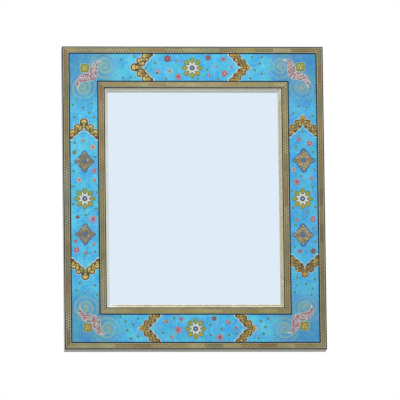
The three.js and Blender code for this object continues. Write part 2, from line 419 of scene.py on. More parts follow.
print("stars", star_pitch, "mm apart in rows", round(star_row, 2), "mm apart")

# %% [markdown]
# A band is that field of triangles, cut to its outline and scored along its border lines, so that no face
# crosses a line. Every face becomes the end of a rod, and the sheet is given a veneer's thickness. Strips of
# the face are mitred across their width; veneers of the sides narrow towards the core instead.

# %% Khatam bands
def cut_band(bm, point, normal, drop=True):
    """Cuts the band along a plane, and drops what lies on the normal's side unless it is only a score."""
    everything = bm.verts[:] + bm.edges[:] + bm.faces[:]
    bmesh.ops.bisect_plane(bm, geom=everything, plane_co=point, plane_no=normal, clear_outer=drop)


def khatam_band(name, side, half_length, width, origin, along, over, out, mitred_face):
    """A veneer strip of star mosaic. Its face runs from over=0 at the origin back to over=-width."""
    bm = bmesh.new()
    columns = 2 * ceil((half_length + 2 * width) / rod_side) + 6
    rows = 2 * ceil(width / rod_row)
    bmesh.ops.create_grid(bm, x_segments=columns, y_segments=rows, size=1)
    stretch = Matrix.Diagonal((columns * rod_side / 2, rows * rod_row / 2, 1, 1))
    lean = Matrix(((1, 1 / sqrt(3), 0, 0), (0, 1, 0, 0), (0, 0, 1, 0), (0, 0, 0, 1)))
    lift = Matrix.Translation((0, star_row / 2, 0))
    bmesh.ops.transform(bm, matrix=lift @ lean @ stretch, verts=bm.verts)
    bmesh.ops.triangulate(bm, faces=bm.faces, quad_method="SHORT_EDGE")

    for hand in (1, -1):
        cut_band(bm, (0, hand * width / 2, 0), (0, hand, 0))
    for hand in (1, -1):
        cut_band(bm, (hand * half_length, width / 2, 0), (hand, -1 if mitred_face else 0, 0))
    for line, hand in itertools.product((border_line, border_width), (1, -1)):
        cut_band(bm, (0, hand * (width / 2 - line), 0), (0, 1, 0), drop=False)

    blocks = shuffle_blocks(name, side)
    for face in bm.faces:
        middle = face.calc_center_median()
        face.material_index = rod_names.index(rod_at(middle.x, middle.y, width, blocks))

    rim = [edge for edge in bm.edges if edge.is_boundary]
    walls = bmesh.ops.extrude_edge_only(bm, edges=rim)["geom"]
    lower = [part for part in walls if isinstance(part, bmesh.types.BMVert)]
    bmesh.ops.translate(bm, verts=lower, vec=(0, 0, -khatam_thickness))
    if not mitred_face:
        narrowing = (half_length - khatam_thickness) / half_length
        bmesh.ops.scale(bm, vec=(narrowing, 1, 1), verts=lower)
    floor_edges = [edge for edge in bm.edges if edge.is_boundary]
    bmesh.ops.edgeloop_fill(bm, edges=floor_edges)
    bmesh.ops.recalc_face_normals(bm, faces=bm.faces)

    centre = origin - over * (width / 2)
    turn = Matrix((along, over, out)).transposed().to_4x4()
    bmesh.ops.transform(bm, matrix=Matrix.Translation(centre) @ turn, verts=bm.verts)
    count = len(bm.faces)
    piece = f"{name}_{side}"
    add_piece(piece + "_mosaic", bm, rods.values(), [piece])
    return count


rod_count = 0
front = Vector((0, -1, 0))
for side, (along, outward, half_length, span) in sides.items():
    for name, inset in (("outer_khatam", outer_khatam_inset), ("inner_khatam", inner_khatam_inset)):
        origin = outward * (span - inset) + Vector((0, face_y, 0))
        rod_count += khatam_band(
            name, side, half_length - inset, khatam_width, origin, along, outward, front, True
        )
    depth = back_y - side_front_y
    origin = outward * span + Vector((0, side_front_y, 0))
    rod_count += khatam_band(
        "side_khatam", side, half_length, depth, origin, -along, front, outward, False
    )
print(rod_count, "rods in twelve bands")

# %% [markdown]
# The thin strips between the bands are ebonised: pear or box wood stained black, then lacquered. The stain
# is a little uneven and greenish, so it is never quite black.

# %% Ebonised lines
ebonised, shader, place = new_finish("ebonised_wood", specular_ior_level=0.12)
fibres = place.noise(900.0, 4.0)
stain = (0.5 * fibres + 0.5 * place.noise(60.0, 2.0)).ramp(0.3, 0.7)
wire(shader, base_color=stain.blend(colour("06090A"), colour("121716")), roughness=0.38 + 0.2 * fibres)
line_names = ["edge_line", "field_outer_line", "field_inner_line", "sight_line"]
for name, side in itertools.product(line_names, sides):
    dress(f"{name}_{side}", ebonised)
print(len(line_names) * len(sides), "lines ebonised")

# %% [markdown]
# The wide field is painted sky blue in thin washes and lacquered. It is brightest along the middle of each
# side, and deepest in the corners, where pale swirling strokes were dragged through it. Towards the right it
# is also a little deeper: painted shade, where the light falls off. All four panels share one material that
# reads the place on the object, so the washes run on across the mitres.

# %% Painted field
field, shader, place = new_finish("painted_field", coat_weight=0.2, coat_roughness=0.08)
across = place.part("X")
point = across.size()
height = place.part("Z").size()
corner = point.ramp(0.090, 0.122).least(height.ramp(0.118, 0.150))
wash = place.noise(55.0, 3.0, 0.6)
fine = place.noise(260.0, 3.0, 0.6)
swirl = place.noise(38.0, 2.0, 0.5, Distortion=2.5)
bright = (0.6 * wash + 0.4 * fine).ramp(0.36, 0.64).blend(colour("2AA8EA"), colour("58D2F0"))
bright = fine.ramp(0.56, 0.72).blend(bright, colour("72D0E4"))
bright = (0.7 * place.noise(130.0, 2.0).ramp(0.52, 0.66)).blend(bright, colour("3EC6D4"))
deep = (0.7 * wash + 0.3 * fine).ramp(0.35, 0.65).blend(colour("1C8ACA"), colour("3EA6C2"))
lilac = 0.55 * place.noise(105.0, 3.0, 0.6).ramp(0.54, 0.68)


def brushed_swirl(x, z):
    """A spiral stroke round a point of each corner: 1 on its crest and 0 between, fading outwards."""
    aside = point - x
    above = height - z
    reach = (aside * aside + above * above).maths("SQRT")
    turn = above.maths("ARCTAN2", aside)
    crest = (950.0 * reach + turn + 2.4 * (swirl - 0.5)).maths("COSINE")
    return (0.5 + 0.5 * crest) * (1 - reach.ramp(0.010, 0.026))


swirls = brushed_swirl(0.1182, 0.1775).most(brushed_swirl(0.1478, 0.1490))
stroke = (1 - (swirl - 0.5).size().ramp(0.0, 0.05)) * 0.35
deep = stroke.blend(deep, colour("7CAAB4"))
deep = (0.75 * swirls).blend(deep, colour("92B8A0"))
washes = lilac.blend(corner.blend(bright, deep), colour("6E9CEA"))
# Painted shade: the right of the frame is darkened a little, standing in for the light falling off there
washes = (0.2 * across.ramp(0.095, 0.135)).blend(washes, colour("1C68C6"))

# A fine blue-black rule runs along both edges of the field
inset = (half_width * mm - point).least(half_height * mm - height)
from_middle = (inset - (field_inset + half_field) * mm).size()
rule = from_middle.ramp((half_field - 0.6) * mm, (half_field - 0.4) * mm)
wire(shader, base_color=rule.blend(washes, colour("173450")))
wire(shader, roughness=0.2 + 0.15 * fine, normal=bump(0.6 * wash + 0.4 * fine, 0.25, 0.0002))
for side in sides:
    dress(f"painted_panel_{side}", field)
print("field painted on", len(sides), "panels")

# %% [markdown]
# The ornament is traditional: chevrons with scalloped edges, eight-petalled rosettes, ogee medallions, a
# palmette in each corner, and small flowers between. A painter lays it in body colour and shell gold, which
# stands a few hundredths of a millimetre proud. So each shape is a thin film here, a real outline with real
# rims.

# %% Paints
def paint_finish(name, light, dark, metal=0.0):
    """Body colour, or shell gold when metal is above 0, with the unevenness of a small brush."""
    material, shader, place = new_finish(
        f"paint_{name}", metallic=metal, coat_weight=0.2, coat_roughness=0.1
    )
    stroke = place.noise(700.0, 3.0, 0.6)
    wire(shader, base_color=stroke.ramp(0.35, 0.65).blend(colour(dark), colour(light)))
    wire(shader, roughness=0.28 + 0.2 * stroke)
    return material


# A light and a dark shade of each; for the golds also how metallic they are
paint_shades = {
    "white": ("F4F2E8", "D9DEDC"),
    "cream": ("EADFB4", "D3C08A"),
    "gold": ("E4C656", "BCA038", 0.25),
    "pale_gold": ("DCCB78", "C0A850", 0.25),
    "umber": ("523C14", "302209"),
    "bronze": ("7C6424", "584414"),
    "old_gold": ("B0983C", "887228", 0.3),
    "slate": ("4C78A8", "365C90"),
    "olive": ("94A040", "6C8030"),
    "green": ("5A8238", "40662C"),
    "leaf_green": ("2C888E", "1E6E7C"),
    "pale_green": ("80C4C0", "5EA8AC"),
    "navy": ("1C4A86", "123464"),
    "deep_blue": ("1674B4", "0E588E"),
    "sky": ("8CC0E4", "6AA4D0"),
    "taupe": ("888A7C", "646A64"),
    "sage": ("9CB898", "82A68C"),
    "foam": ("DCEAEA", "B4D2DA"),
    "pearl": ("DEDAD8", "B8BCC6"),
    "pink": ("CE9CAC", "B4808F"),
    "rose": ("A85C72", "8C465C"),
    "mauve": ("A8788C", "8A5C74"),
    "red": ("CC8492", "AE6878"),
    "orange": ("D88A3A", "BC6C26"),
    "stem": ("7CB8A8", "64A294"),
    "plum": ("8E5E64", "663F46"),
}
paints = {name: paint_finish(name, *shades) for name, shades in paint_shades.items()}
print(len(paints), "paints mixed")

# %% [markdown]
# Every outline comes from two ideas: a curve, and a width that changes along it. A leaf is wide in its
# middle, a petal near its tip, and a tendril hardly anywhere. A shape is a function: asked for a margin, it
# gives its outline drawn that much smaller. So a rim is the whole shape in one paint, and on it the same
# shape with a margin in the next.
#
# Two films that overlap must not end at the same height. So each shape has a level, in films of paint, and
# rims and neighbouring petals add a small step of their own.

# %% Outlines and films of paint
film = 0.035
rim_step = 0.4
petal_step = 0.13
least_width = 0.04
stroke_width = 0.32


def bent(start, pull, end, count):
    """Points along a curve from start to end that leans towards pull."""
    steps = [i / count for i in range(count + 1)]
    return [(1 - t) ** 2 * start + 2 * t * (1 - t) * pull + t * t * end for t in steps]


def thicken(spine, half_width):
    """An outline round a curve; half_width gives its half width at 0 to 1 along it."""
    left = []
    right = []
    last = len(spine) - 1
    for i, middle in enumerate(spine):
        way = (spine[min(i + 1, last)] - spine[max(i - 1, 0)]).normalized()
        side = aside_of(way) * max(least_width, half_width(i / last))
        left.append(middle + side)
        right.append(middle - side)
    return left + right[::-1]


def towards(angle, reach=1.0):
    return Vector((cos(angle), sin(angle))) * reach


def around(count, turn=0.0):
    """The angles of so many points, evenly spread round a circle."""
    return [turn + tau * i / count for i in range(count)]


def aside_of(way):
    return Vector((-way.y, way.x))


def leaf(base, tip, width, bend=0.0, fullness=1.0, count=8):
    """A pointed leaf. Bend pulls its middle sideways; fullness above 1 moves its widest part to the tip."""
    def shape(margin):
        way = (tip - base).normalized()
        start = base + way * 1.6 * margin
        end = tip - way * 1.6 * margin
        pull = (start + end) / 2 + aside_of(way) * bend * (end - start).length
        belly = width / 2 - margin
        spine = bent(start, pull, end, count)
        return thicken(spine, lambda t: belly * sin(pi * t ** fullness) ** 0.75)
    return shape


def stroke_along(spine, width, ends):
    """A stroke whose ends are that share of its width."""
    return lambda margin: thicken(spine, lambda t: (width / 2 - margin) * (ends + (1 - ends) * sin(pi * t)))


def tendril(base, tip, bend, count=8):
    """A thin stroke that tapers at both ends."""
    spine = bent(base, (base + tip) / 2 + aside_of(tip - base) * bend, tip, count)
    return stroke_along(spine, stroke_width, 0.45)


def spiral(middle, inner, outer, start, turns, width, count):
    """A stroke that winds outwards from the inner to the outer radius."""
    steps = [i / count for i in range(count + 1)]
    spine = [middle + towards(start + turns * tau * t, inner + (outer - inner) * t) for t in steps]
    return stroke_along(spine, width, 0.5)


def disc(middle, radius, count):
    return lambda margin: [middle + towards(angle, radius - margin) for angle in around(count)]


class Painting:
    """One motif, or a spray of them, as films of paint on the field."""

    def __init__(self):
        self.bm = bmesh.new()
        self.used = []
        self.films = {}

    def lay(self, shape, level, middle, *rims):
        """A film of this shape. Each rim, from the edge inwards, is a width and a paint."""
        margin = 0.0
        for step, (width, paint) in enumerate((*rims, (0, middle))):
            if paint not in self.used:
                self.used.append(paint)
            corners = [self.bm.verts.new((across, field_y, up)) for across, up in shape(margin)]
            face = self.bm.faces.new(corners)
            face.material_index = self.used.index(paint)
            self.films.setdefault(level + 1 + rim_step * step, []).append(face)
            margin += width

    def petals(self, middle, inner, outer, count, width, level, paint, *rims, turn=0.0):
        """A ring of petals round a point; neighbours overlap, so they lie at slightly different levels."""
        for i, angle in enumerate(around(count, turn)):
            petal = leaf(middle + towards(angle) * inner, middle + towards(angle) * outer, width, 0, 1.5)
            self.lay(petal, level + petal_step * (i % 3), paint, *rims)

    def done(self, name):
        """Raises every film to its height, and makes the piece."""
        for height, faces in self.films.items():
            raised = bmesh.ops.extrude_face_region(self.bm, geom=faces)["geom"]
            tops = [part for part in raised if isinstance(part, bmesh.types.BMVert)]
            bmesh.ops.translate(self.bm, verts=tops, vec=(0, -film * height, 0))
        bmesh.ops.recalc_face_normals(self.bm, faces=self.bm.faces)
        print(name, "has", len(self.bm.faces), "faces")
        add_piece(name, self.bm, [paints[paint] for paint in self.used])


print("a film of paint is", film, "mm thick")

# %% [markdown]
# The painter spaced the motifs by eye, so their places are read from the photograph, as pixels of its 400
# pixel frame, and turned into millimetres on the face. The small shear takes out the picture's lean.

# %% From the photograph to the face
photo_middle = (194.2, 197.9)
photo_shear = 0.0125
pixel_across = 1.342
pixel_up = 1.356


def on_face(x, y):
    """A point of the photograph as millimetres across and up on the face."""
    return Vector((
        (x - photo_middle[0] - photo_shear * (y - photo_middle[1])) * pixel_across,
        (photo_middle[1] - y) * pixel_up,
    ))


print("a pixel is", pixel_across, "mm across and", pixel_up, "mm up")

# %% [markdown]
# Two chevrons on each side close off its middle part. Seen along the way that it points, a chevron is a band
# between two height curves: outside, the highest of a few circles, so that scallops meet in sharp notches;
# inside, a straight slope with small cusps. Smaller circles give the dark ground inside the pale line. Where
# the scallops are round, each holds a fan of gold petals. Small gold flowers in staggered rows fill the
# rest, and a chevron without fans has one larger flower at its tip.

# %% Chevrons
lobe_pitch = half_field / 3
# A scallop is a distance beside the axis, a distance behind the tip, and a radius
round_scallops = [(0, 6.2, 6.2), (9.0, 12.9, 5.0), (15.4, 20.2, 5.4)]
pointed_scallops = [(0, 8.6, 5.6), (7.2, 12.4, 4.7), (14.2, 18.9, 4.7)]
small_scallops = [(0, 5.3, 5.3), (8.4, 12.0, 4.9), (15.6, 19.4, 5.0)]
bright_golds = ["gold", "old_gold", "pale_gold", "old_gold", "olive"]
dark_golds = ["gold", "old_gold", "bronze", "old_gold", "olive"]
# Each chevron: its tip in the photograph, the way it points, its scallops, depth, line and flower paints
left_way, right_way, up, down = pi, 0, pi / 2, -pi / 2
chevrons = {
    "top_left": ((130, 68), left_way, round_scallops, 18.6, "white", bright_golds),
    "top_right": ((252, 67), right_way, pointed_scallops, 18.8, "white", bright_golds),
    "bottom_left": ((137.7, 328.7), left_way, pointed_scallops, 18.4, "white", bright_golds),
    "bottom_right": ((257.9, 328.9), right_way, pointed_scallops, 18.4, "white", bright_golds),
    "left_upper": ((83.5, 118.3), up, round_scallops, 16.8, "white", bright_golds),
    "left_lower": ((86.3, 280.6), down, round_scallops, 17.2, "white", bright_golds),
    "right_upper": ((302.6, 113.8), up, pointed_scallops, 18.8, "foam", bright_golds),
    "right_lower": ((304.7, 278), down, small_scallops, 18.4, "foam", dark_golds),
}
edge_steps = 48
row_pitch = 4.2
fan_spreads = (-1.25, -0.42, 0.42, 1.25)


def outer_height(beside, scallops, margin):
    """The outer edge, counted forwards from the tip, so mostly below 0."""
    heights = []
    for aside, behind, radius in scallops:
        rest = (radius - 0.6 * margin) ** 2 - (abs(beside) - aside) ** 2
        if rest > 0:
            heights.append(sqrt(rest) - behind)
    if scallops is pointed_scallops:
        heights.append(-1.15 * abs(beside) - 1.5 * margin)
    return max(heights)


def inner_height(beside, depth, margin):
    """The inner edge: small lobes on a slope, and a drawn-out tip on the axis."""
    lobe = 1.7 * abs(cos(pi * beside / lobe_pitch))
    tip = 1.3 * max(0, 1 - abs(beside) / 2.6)
    return lobe + tip + 1.6 * margin - depth - 0.86 * abs(beside)


def in_fan(beside, forward, scallops):
    """Whether a point lies where a scallop's own fan is."""
    return any(
        hypot(abs(beside) - aside, forward + behind) < radius - 0.4 and forward > -behind + 1.6
        for aside, behind, radius in scallops
    )


def lay_fan(work, heart, turn, radius):
    """Four petals with pale veins, spread from a scallop's middle."""
    for k, spread in enumerate(fan_spreads):
        end = heart + towards(turn + spread, radius - 1.3)
        fill = "gold" if abs(spread) < 1 else "olive"
        work.lay(leaf(heart, end, 3.7, 0, 1.6), 3.4 + 0.15 * k, fill, (0.4, "umber"))
        vein_end = heart + towards(turn + spread, radius - 2.6)
        work.lay(leaf(heart, vein_end, 1.6, 0, 1.4, 6), 4.4 + 0.1 * k, "pale_gold")
    work.lay(disc(heart, 1.0, 10), 5, chance.choice(["orange", "old_gold", "old_gold"]), (0.35, "umber"))


for name, (tip, turn, scallops, depth, line, fills) in chevrons.items():
    tip = on_face(*tip)
    ahead = towards(turn)
    beside = towards(turn + pi / 2)
    # The tip lies on its panel's middle line, whatever its own small offset in the photograph
    if abs(ahead.x) > 0.5:
        tip.y = copysign(half_height - field_inset - half_field, tip.y)
    else:
        tip.x = copysign(half_width - field_inset - half_field, tip.x)

    def spot(aside, forward):
        return tip + beside * aside + ahead * forward

    def band(margin):
        steps = [half_field * i / edge_steps for i in range(-edge_steps, edge_steps + 1)]
        outer = [spot(step, outer_height(step, scallops, margin)) for step in steps]
        inner = [spot(step, inner_height(step, depth, margin)) for step in steps]
        return outer + inner[::-1]

    work = Painting()
    work.lay(band, 0, "umber", (0.7, line))
    with_fans = scallops is round_scallops
    if with_fans:
        for aside, behind, radius in scallops:
            for hand in ((-1, 1) if aside else (1,)):
                lay_fan(work, spot(hand * aside, -behind), turn, radius)

    columns, reach = (3, 2.6) if with_fans else (5, 1.95)
    pitch = (half_field - reach) / columns
    for column in range(-columns, columns + 1):
        aside = column * pitch
        nearby = (aside - 0.9 * reach, aside, aside + 0.9 * reach)
        low = max(inner_height(step, depth, 0) for step in nearby) + reach
        high = min(outer_height(step, scallops, 0) for step in nearby) - 0.8 * reach
        rows = max(2, round((high - low) / row_pitch) + 1)
        for row in range(rows):
            forward = low + (high - low) * (row + 0.5 * (column % 2)) / (rows - 0.5)
            if with_fans and in_fan(aside, forward, scallops):
                continue
            heart = spot(aside, forward)
            fill = chance.choice(fills)
            # Neighbouring flowers overlap, so every second row and column lies higher
            level = 1 + 0.93 * (row % 2) + 0.465 * (column % 2)
            way = chance.uniform(0, 2)
            work.petals(heart, 0.2, reach, 5, 0.8 * reach, level, fill, (0.2, "bronze"), turn=way)
            work.lay(disc(heart, 0.3 * reach, 8), level + 0.8, chance.choice(["orange", "umber", "cream"]))
    if not with_fans:
        heart = spot(0, -4.6)
        work.petals(heart, 0.2, 3.0, 6, 2.4, 3.4, fills[0], (0.3, "umber"), turn=turn)
        work.lay(disc(heart, 0.8, 10), 4.4, "umber")
    work.done(f"chevron_{name}")

# %% [markdown]
# A rosette marks the middle of each side: eight olive and gold petals round a white star, and a dark blue
# boss with a pale blue eye.

# %% Rosettes
rosettes = {"top": (192, 68), "bottom": (195.6, 328.7), "left": (85, 199), "right": (302.3, 199)}
for side, pixel in rosettes.items():
    heart = on_face(*pixel)
    work = Painting()
    for angle in around(8):
        way = towards(angle)
        fill, vein_rim = ("old_gold", "gold") if way.y < -0.5 else ("olive", "pale_gold")
        petal = leaf(heart + way * 5.4, heart + way * 15.0, 7.6, 0, 1.05, 14)
        work.lay(petal, 2.4, fill, (0.3, "pale_green"), (0.8, "green"))
        vein = leaf(heart + way * 8.0, heart + way * 13.4, 2.2, 0, 1.1)
        work.lay(vein, 3.8, "green", (0.4, vein_rim))
    work.petals(heart, 1.5, 10.2, 8, 3.8, 0, "white", (0.35, "mauve"), turn=pi / 8)
    work.petals(heart, 1.5, 6.6, 8, 3.0, 1, "white", (0.35, "mauve"))
    work.lay(disc(heart, 3.8, 24), 4, "navy", (0.35, "cream"))
    work.lay(disc(heart, 1.3, 16), 5, "sky", (0.25, "cream"))
    work.done(f"rosette_{side}")

# %% [markdown]
# Above and below the side rosettes sit ogee medallions: four drawn-out tips with full curves between. In
# polar form that is one formula, a cosine of twice the angle raised to a power, plus a little scalloping.
# Inside a broad blue rim lie small blossoms, mirrored about each of the four axes, and a blue flower.

# %% Medallions
grey_blossoms = ["cream", "bronze", "mauve", "olive", "slate", "old_gold"]
gold_blossoms = ["gold", "old_gold", "cream", "olive", "mauve", "pale_gold"]
medallions = {
    "left_upper": ((84.5, 162), 15.2, "slate", grey_blossoms),
    "left_lower": ((85.7, 234.6), 15.2, "slate", grey_blossoms),
    "right_upper": ((303.6, 160.6), 16.9, "deep_blue", gold_blossoms),
    "right_lower": ((302.9, 235.2), 16.2, "deep_blue", gold_blossoms),
}
# Blossoms in a medallion: an angle from each axis, and a distance from the middle as a share of the reach
blossom_places = [(0, 0.74), (0, 0.49), (0.36, 0.58), (-0.36, 0.58), (0.79, 0.5), (0.4, 0.31), (-0.4, 0.31)]


def ogee(middle, reach, count=96):
    """Four tips with swelling curves between them; the upper and lower ones are rounder."""
    def shape(margin):
        outline = []
        for angle in around(count):
            waist = abs(cos(2 * angle))
            power = 3 if abs(sin(angle)) > 0.7 else 7
            swell = 0.66 + 0.34 * waist ** power + 0.05 * (1 - waist) ** 2
            edge = towards(angle, (reach - 1.4 * margin) * swell)
            outline.append(middle + Vector((0.94 * edge.x, edge.y)))
        return outline
    return shape


for name, (pixel, reach, rim, blossoms) in medallions.items():
    heart = on_face(*pixel)
    work = Painting()
    work.lay(ogee(heart, reach), 0, "taupe", (2.1, rim), (0.3, "navy"))
    for way in around(4):
        for aside, share in blossom_places:
            middle = heart + towards(way + aside, share * reach)
            fill = chance.choice(blossoms)
            level = 2.9 if 0.3 < abs(aside) < 0.5 else 2
            work.petals(middle, 0.1, 1.75, 5, 1.5, level, fill, (0.2, "umber"), turn=way + aside)
            work.lay(disc(middle, 0.4, 8), level + 0.8, "cream" if fill != "cream" else "rose")
        for hand in (-1, 1):
            curl = heart + towards(way + hand * 0.58, 6.4)
            work.lay(spiral(curl, 0.3, 1.6, way, 1.2 * hand, 0.5, 16), 1, "cream")
            stem_end = heart + towards(way + hand * 0.3, 10.2)
            work.lay(tendril(heart + towards(way, 3.0), stem_end, 0.2 * hand), 1, "bronze")
    work.petals(heart, 0.4, 3.0, 8, 1.7, 4, "slate", (0.25, "navy"), turn=pi / 8)
    work.lay(disc(heart, 0.7, 12), 5, "cream", (0.25, "navy"))
    work.done(f"medallion_{name}")

# %% [markdown]
# Each corner holds a palmette that opens towards the outside: two wings like curled feathers, filled with a
# lace of tiny flowers, a square green leaf with a fan of stripes between them, and a spiral on each side. It
# is drawn once, for a corner that lies to the right and up, and mirrored by the signs of each corner.

# %% Corner palmettes
corners = {
    "top_left": ((84.5, 68.5), -1, 1),
    "top_right": ((300.4, 66.9), 1, 1),
    "bottom_right": ((304.2, 326.1), 1, -1),
    "bottom_left": ((88.1, 327.4), -1, -1),
}
leaf_from_base = Vector((8.9, 10.2))
leaf_reach = 6.1
spiral_middles = (Vector((10.8, -18.2)), Vector((-17.5, 11.8)))
# A wing's root, the point that its middle line leans to, its tip, and the end of the curl beyond
wings = [
    (Vector((-4.6, -1.2)), Vector((19.0, -1.0)), Vector((19.2, -15.0)), Vector((18.2, -19.6))),
    (Vector((-2.2, -5.0)), Vector((-2.6, 15.6)), Vector((-9.8, 20.8)), Vector((-15.2, 18.6))),
]
wing_steps = 18
lace_pitch = 2.7
lace_margin = 1.6
stripe_spreads = (-0.66, -0.44, -0.22, 0, 0.22, 0.44, 0.66)


def feather(t):
    """Half the width of a wing: full and round near its base, drawn out to its curled tip."""
    body = 4.3 * (1 - t) ** 1.15 * (1 + 1.8 * t) * min(1, (t + 0.03) / 0.12) ** 0.5
    return body + 0.8 + 0.55 * abs(sin(5 * pi * t))


def square_leaf(margin, count=40):
    """A square with rounded corners, as a curve of the eighth power."""
    outline = []
    for angle in around(count):
        stretch = (cos(angle) ** 8 + sin(angle) ** 8) ** (-1 / 8)
        outline.append(leaf_from_base + towards(angle, (leaf_reach - margin) * stretch))
    return outline


for name, (pixel, hand, lift) in corners.items():
    base = on_face(*pixel) - Vector((leaf_from_base.x * hand, leaf_from_base.y * lift))

    def settle(shape):
        """A shape in the corner's own frame, mirrored into this corner of the face."""
        return lambda margin: [base + Vector((point.x * hand, point.y * lift)) for point in shape(margin)]

    work = Painting()
    for middle in spiral_middles:
        work.lay(settle(spiral(middle, 1.2, 8.2, 2.0, 2.2, 1.1, 60)), -0.5, "sage")
        work.lay(settle(disc(middle, 0.9, 10)), 0, "orange", (0.3, "cream"))
    for layer, (first, pull, tip, curl) in enumerate(wings):
        spine = bent(first, pull, tip, wing_steps)

        def wing(margin):
            return thicken(spine, lambda t: feather(t) - margin)

        level = 2.0 * layer
        work.lay(settle(wing), level, "plum", (0.8, "pearl"))
        curl_bend = -0.45 if layer else 0.45
        work.lay(settle(leaf(tip + (first - tip) * 0.12, curl, 1.8, curl_bend, 0.8)), 4, "pearl")
        for row, column in itertools.product(range(-8, 9), repeat=2):
            middle = Vector(((column + row % 2 / 2) * lace_pitch, row * lace_pitch * 0.87))
            nearest = min(range(wing_steps + 1), key=lambda i: (spine[i] - middle).length)
            if (spine[nearest] - middle).length >= feather(nearest / wing_steps) - lace_margin:
                continue
            shade = chance.choice(["rose", "rose", "bronze", "orange"])
            if middle.x < 0 and middle.y < 3:
                shade = "slate"
            fill = chance.choice(["white", "pearl", "pearl", "pink"])
            for k, way in enumerate(around(5, chance.uniform(0, 1.2))):
                end = middle + towards(way, 1.2)
                petal = leaf(middle, end, 1.0, 0, 1.5, 6)
                work.lay(settle(petal), level + 1.1 + petal_step * (k % 3), fill)
            work.lay(settle(disc(middle, 0.4, 8)), level + 1.6, shade)

    work.lay(settle(square_leaf), 3.9, "olive", (0.4, "cream"), (0.9, "green"))
    root = leaf_from_base - Vector((4.0, 4.0))
    stripes = ("bronze", "gold") if lift < 0 else ("green", "pale_gold")
    for i, spread in enumerate(stripe_spreads):
        end = root + towards(pi / 4 + spread, 9.8 - 3.6 * abs(spread))
        work.lay(settle(leaf(root, end, 1.6, 0, 1.3)), 5.3 if i % 2 else 5.1, stripes[i % 2])
    tongue = leaf(root, root + Vector((3.8, 3.8)), 2.4, 0, 1.2)
    work.lay(settle(tongue), 5.6, "orange" if lift < 0 else "olive", (0.3, "umber"))
    work.done(f"palmette_{name}")

# %% [markdown]
# Small flowers, buds and leaves are scattered over the blue. The places, sizes and colours of the flowers
# follow the photograph; their petals and stems turn at random, from a fixed seed, so that every run grows
# the same garden. A flower is one petal outline repeated, with a darker streak on each. A bud has three
# petals in a dark cup, whose paint comes last in its entry.

# %% Flowers, buds and leaves
# Each kind: its petals' paint, their rim, its eye, and how many petals it has
kinds = {
    "rose": ("pink", "plum", "rose", 6),
    "russet": ("rose", "umber", "pink", 6),
    "cream": ("cream", "mauve", "rose", 5),
    "tan": ("taupe", "bronze", "cream", 5),
    "red": ("red", "rose", "cream", 5),
    "violet": ("pink", "mauve", "navy", 6),
    "orange": ("orange", "rose", "cream", 5),
}
# A flower: its place and size in the photograph, its kind, and for a bud the paint of its cup
flowers = {
    "top": [
        (167.4, 58.8, 3.8, "russet"), (157.2, 72.6, 3.0, "rose", "umber"), (169.5, 71.3, 2.5, "cream"),
        (178.2, 76.9, 3.5, "rose"), (207.9, 57.8, 3.0, "russet"), (223.2, 59.3, 2.5, "rose"),
        (209.1, 76.1, 2.5, "red", "navy"), (224.4, 73.6, 3.5, "red"), (216.3, 66.7, 1.5, "cream"),
        (231.3, 67.2, 1.5, "cream"),
    ],
    "left": [
        (83.7, 141, 2.3, "rose", "navy"), (92.8, 147.6, 3.0, "cream"), (74.5, 152.9, 2.3, "tan"),
        (94.3, 171.3, 2.5, "red"), (79.2, 180.4, 2.7, "cream"), (93.5, 181.1, 2.3, "orange", "leaf_green"),
        (77.9, 217.5, 2.0, "russet"), (93.5, 219.3, 3.6, "violet"), (76.3, 241.3, 2.0, "rose"),
        (93.9, 244.9, 2.3, "violet", "navy"), (77, 250.3, 3.1, "red"), (86.3, 253.4, 2.0, "orange"),
    ],
    "right": [
        (298.9, 139.5, 2.1, "orange"), (309.4, 143.6, 3.1, "red"), (293.4, 169.8, 2.4, "cream"),
        (310.6, 179.1, 2.4, "orange", "navy"), (296.5, 182.2, 3.4, "rose"),
        (298, 219.8, 2.4, "orange", "navy"), (312.8, 219.3, 3.1, "red"),
        (299.8, 251.5, 2.3, "rose"), (312.9, 251.3, 2.9, "russet"),
    ],
    "bottom": [
        (167, 321.8, 2.6, "orange", "navy"), (181, 319.2, 2.3, "rose"), (178, 329.9, 3.8, "rose"),
        (171.3, 336.8, 2.6, "rose", "navy"), (214, 318.5, 2.6, "russet"),
        (228.8, 322.6, 2.8, "orange", "navy"), (219.6, 337.3, 3.6, "rose"), (235.9, 327.7, 1.8, "violet"),
    ],
}
